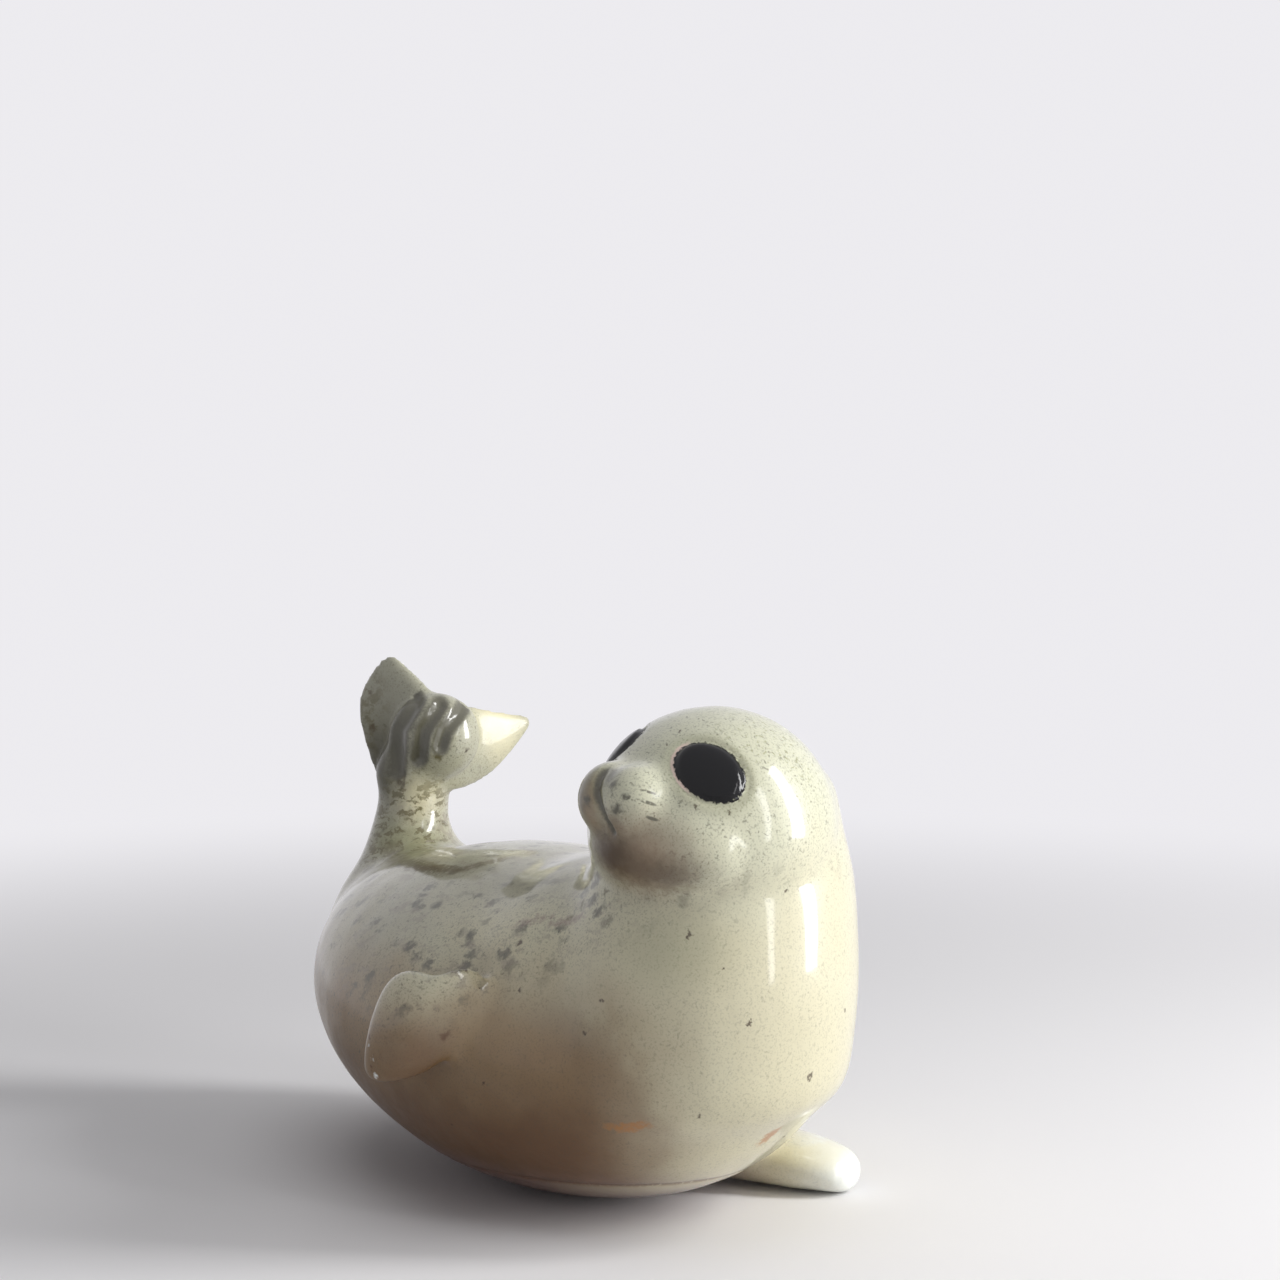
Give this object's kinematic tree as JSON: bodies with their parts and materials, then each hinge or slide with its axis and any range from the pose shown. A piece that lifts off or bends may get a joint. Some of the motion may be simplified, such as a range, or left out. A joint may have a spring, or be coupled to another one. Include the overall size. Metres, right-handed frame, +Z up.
{
  "type": "seal figurine",
  "caption": "Plump seal pup figurine in speckled glazed stoneware, lying on its belly with head turned aside and tail raised.",
  "frame": {"origin": "on the flat foot that the figurine rests on, a little in front of its middle", "axes": "+Z up out of the foot, +X along the body from rump to chest, +Y to the animal's left; the head is turned towards -Y"},
  "size_m": [0.188, 0.1337, 0.141],
  "materials": {
    "seal_glaze": "glossy speckled cream glaze on stoneware, with black glossy eyes"
  },
  "bodies": {
    "root": {"seal": "seal_glaze"}
  },
  "joints": []
}
